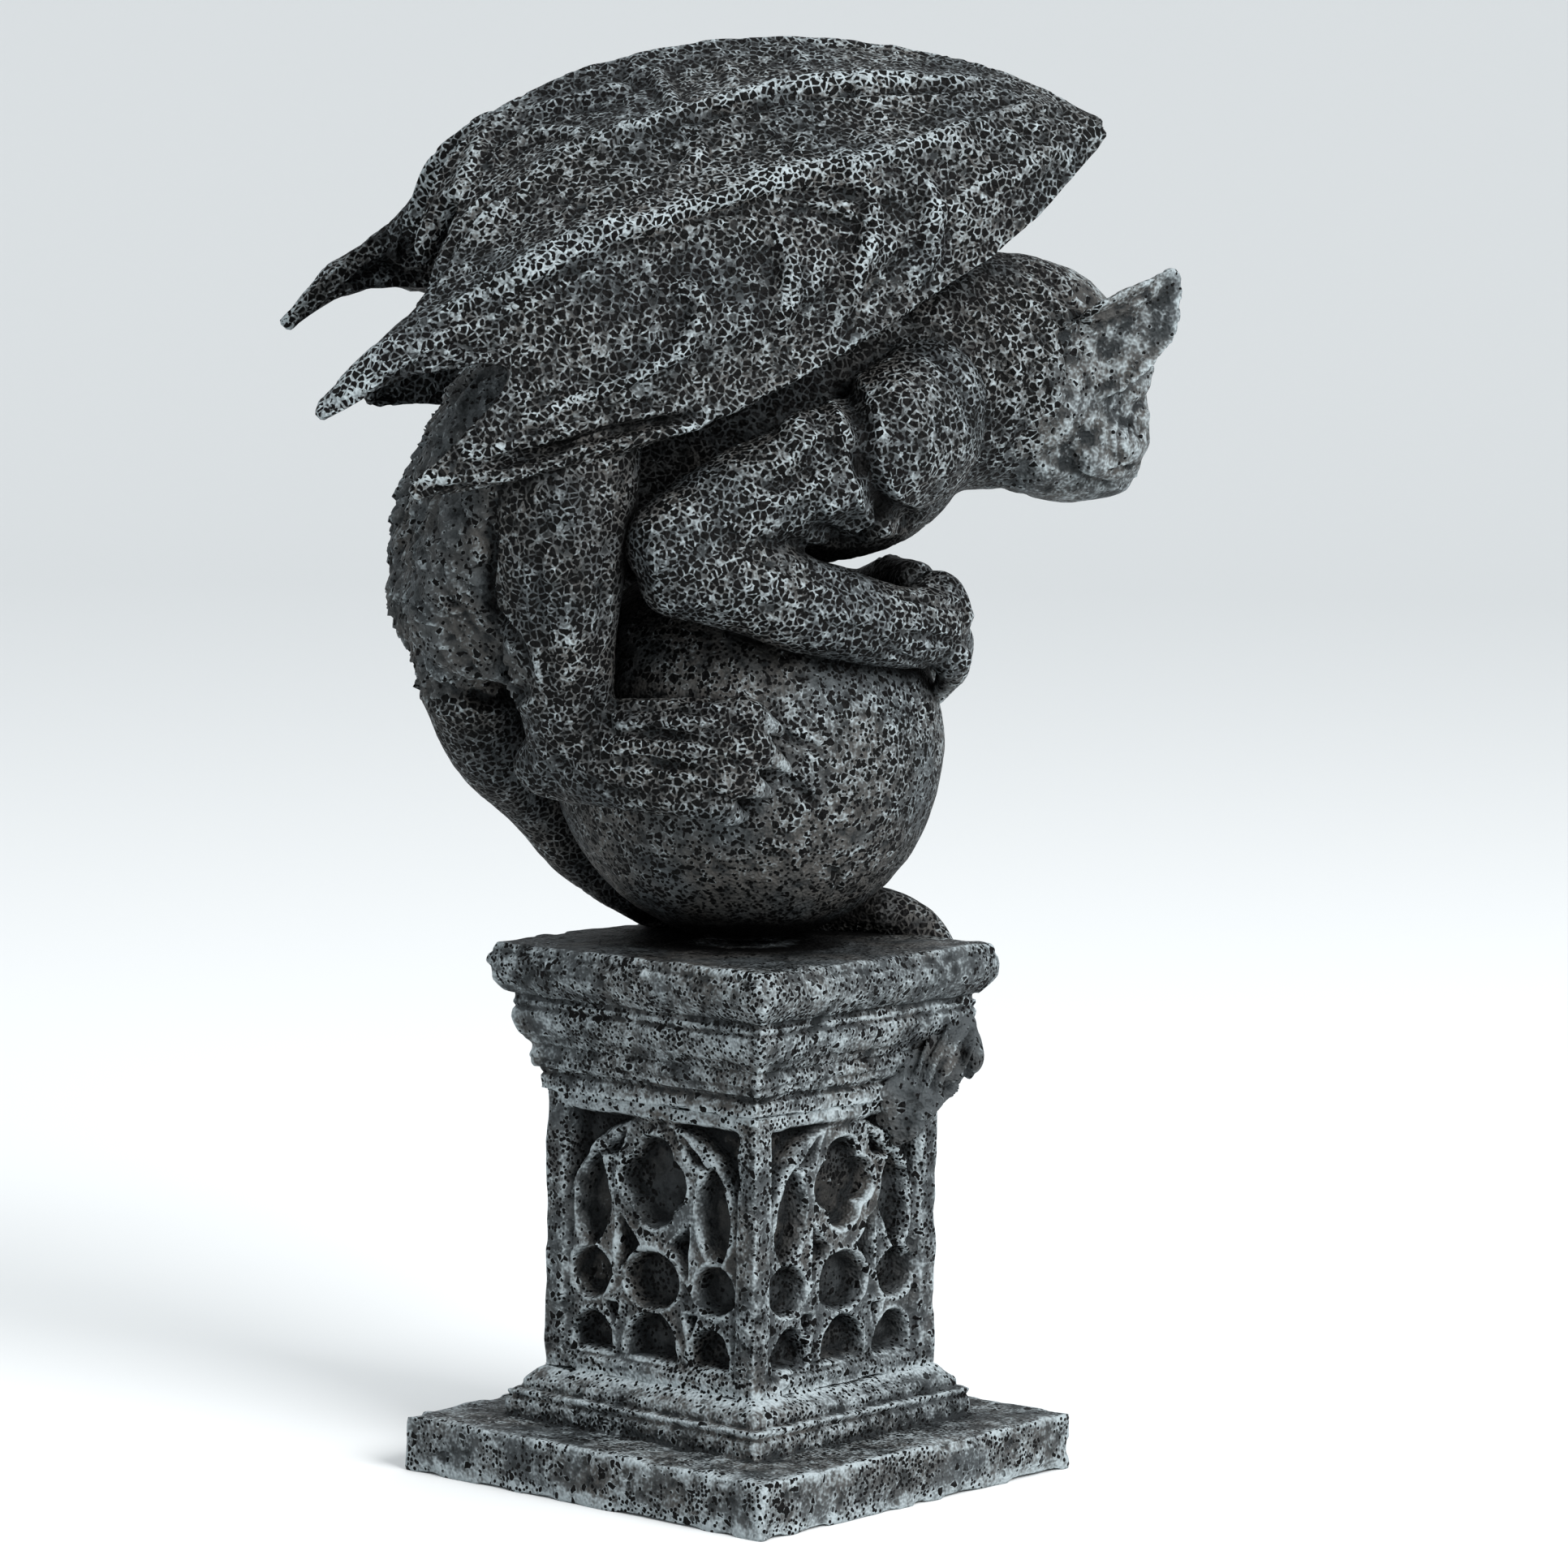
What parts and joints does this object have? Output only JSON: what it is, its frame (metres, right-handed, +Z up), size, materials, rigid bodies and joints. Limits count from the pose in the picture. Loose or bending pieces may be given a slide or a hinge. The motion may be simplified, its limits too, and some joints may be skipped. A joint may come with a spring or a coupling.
{
  "type": "gargoyle statue",
  "caption": "Winged gargoyle crouching on a globe above a square plinth with pointed window tracery, its long tail wrapped over the plinth's cap.",
  "frame": {"origin": "centre of the plinth's underside, where the statue meets the surface it stands on", "axes": "+Z up; X and Y along the sides of the square plinth; the gargoyle faces 53 degrees from +X towards +Y, just past the plinth's +X +Y corner"},
  "size_m": [0.1108, 0.1292, 0.2138],
  "materials": {
    "cast_stone": "charcoal cast stone, pitted all over, with blue-grey dry-brushed ridges and edges"
  },
  "bodies": {
    "root": {"gargoyle_statue": "cast_stone"}
  },
  "joints": []
}
